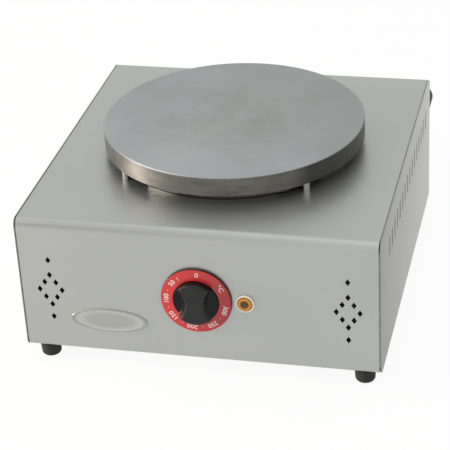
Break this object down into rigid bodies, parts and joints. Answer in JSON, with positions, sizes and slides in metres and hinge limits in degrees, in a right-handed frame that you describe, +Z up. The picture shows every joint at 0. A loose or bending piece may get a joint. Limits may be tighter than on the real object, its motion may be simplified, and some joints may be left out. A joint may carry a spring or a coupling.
{
  "type": "electric crepe maker",
  "caption": "Countertop crepe maker: round cast-iron hot plate on pins over a steel sheet casing, rotary thermostat and pilot lamp in front.",
  "frame": {"origin": "on the surface the feet stand on, in the middle of the footprint's bounding box", "axes": "+Z up, -Y to the user (the knob's side), +X to the user's right"},
  "size_m": [0.468, 0.5448, 0.251],
  "materials": {
    "casing_steel": "satin stainless sheet, faint fine grain",
    "badge_steel": "satin, blank",
    "plate_iron": "turned and ground grey iron, satin",
    "pin_steel": "turned",
    "pan_steel": "pressed sheet",
    "rail_steel": "zinc plated",
    "ceramic_fibre": "fibrous board",
    "element_sheath": "oxidised sheath",
    "stud_steel": "turned",
    "knob_black": "moulded phenolic, semi-gloss",
    "dial_red": "gloss, printed scale",
    "brass": "turned",
    "thermostat_plastic": "moulded",
    "shaft_steel": "turned",
    "capillary_copper": "copper",
    "lamp_chrome": "bright",
    "lamp_amber": "amber, unlit",
    "lamp_plastic": "moulded",
    "porcelain": "glazed porcelain",
    "gland_black": "moulded nylon",
    "gland_rubber": "moulded",
    "foot_rubber": "moulded",
    "fastener_steel": "zinc plated"
  },
  "bodies": {
    "casing": {"back_panel": "casing_steel", "back_panel_screws": "fastener_steel", "badge_plate": "badge_steel", "base_plate": "casing_steel", "base_plate_screws": "fastener_steel", "bearer_rail_front": "rail_steel", "bearer_rail_rear": "rail_steel", "bulb_clips": "pan_steel", "capillary_tube": "capillary_copper", "centre_stud": "stud_steel", "centre_stud_nuts": "stud_steel", "earth_terminal": "fastener_steel", "element_clamp": "pan_steel", "foot_bolts": "fastener_steel", "foot_front_left": "foot_rubber", "foot_front_right": "foot_rubber", "foot_nuts": "fastener_steel", "foot_rear_left": "foot_rubber", "foot_rear_right": "foot_rubber", "front_top_cover": "casing_steel", "gland_body": "gland_black", "gland_locknut": "gland_black", "gland_nut": "gland_black", "gland_seal": "gland_rubber", "heater_pan": "pan_steel", "heating_element_inner": "element_sheath", "heating_element_outer": "element_sheath", "hot_plate": "plate_iron", "insulation_disc": "ceramic_fibre", "lamp_bezel": "lamp_chrome", "lamp_lens": "lamp_amber", "lamp_nut": "lamp_chrome", "lamp_tail": "lamp_plastic", "sensor_bulb": "capillary_copper", "side_panel_left": "casing_steel", "side_panel_right": "casing_steel", "support_pin_front_left": "pin_steel", "support_pin_front_right": "pin_steel", "support_pin_nuts": "pin_steel", "support_pin_rear_left": "pin_steel", "support_pin_rear_right": "pin_steel", "terminal_block": "porcelain", "terminal_block_screws": "fastener_steel", "terminal_screws": "brass", "thermostat_body": "thermostat_plastic", "thermostat_screws": "fastener_steel"},
    "knob": {"knob_grip": "knob_black", "dial_ring": "dial_red", "knob_insert": "brass", "thermostat_shaft": "shaft_steel"}
  },
  "joints": [
    {"name": "knob_turn", "type": "hinge", "parent": "casing", "child": "knob", "pos_m": [0, -0.2556, 0.114], "axis": [0, 1, 0], "range_deg": [0, 254]}
  ]
}
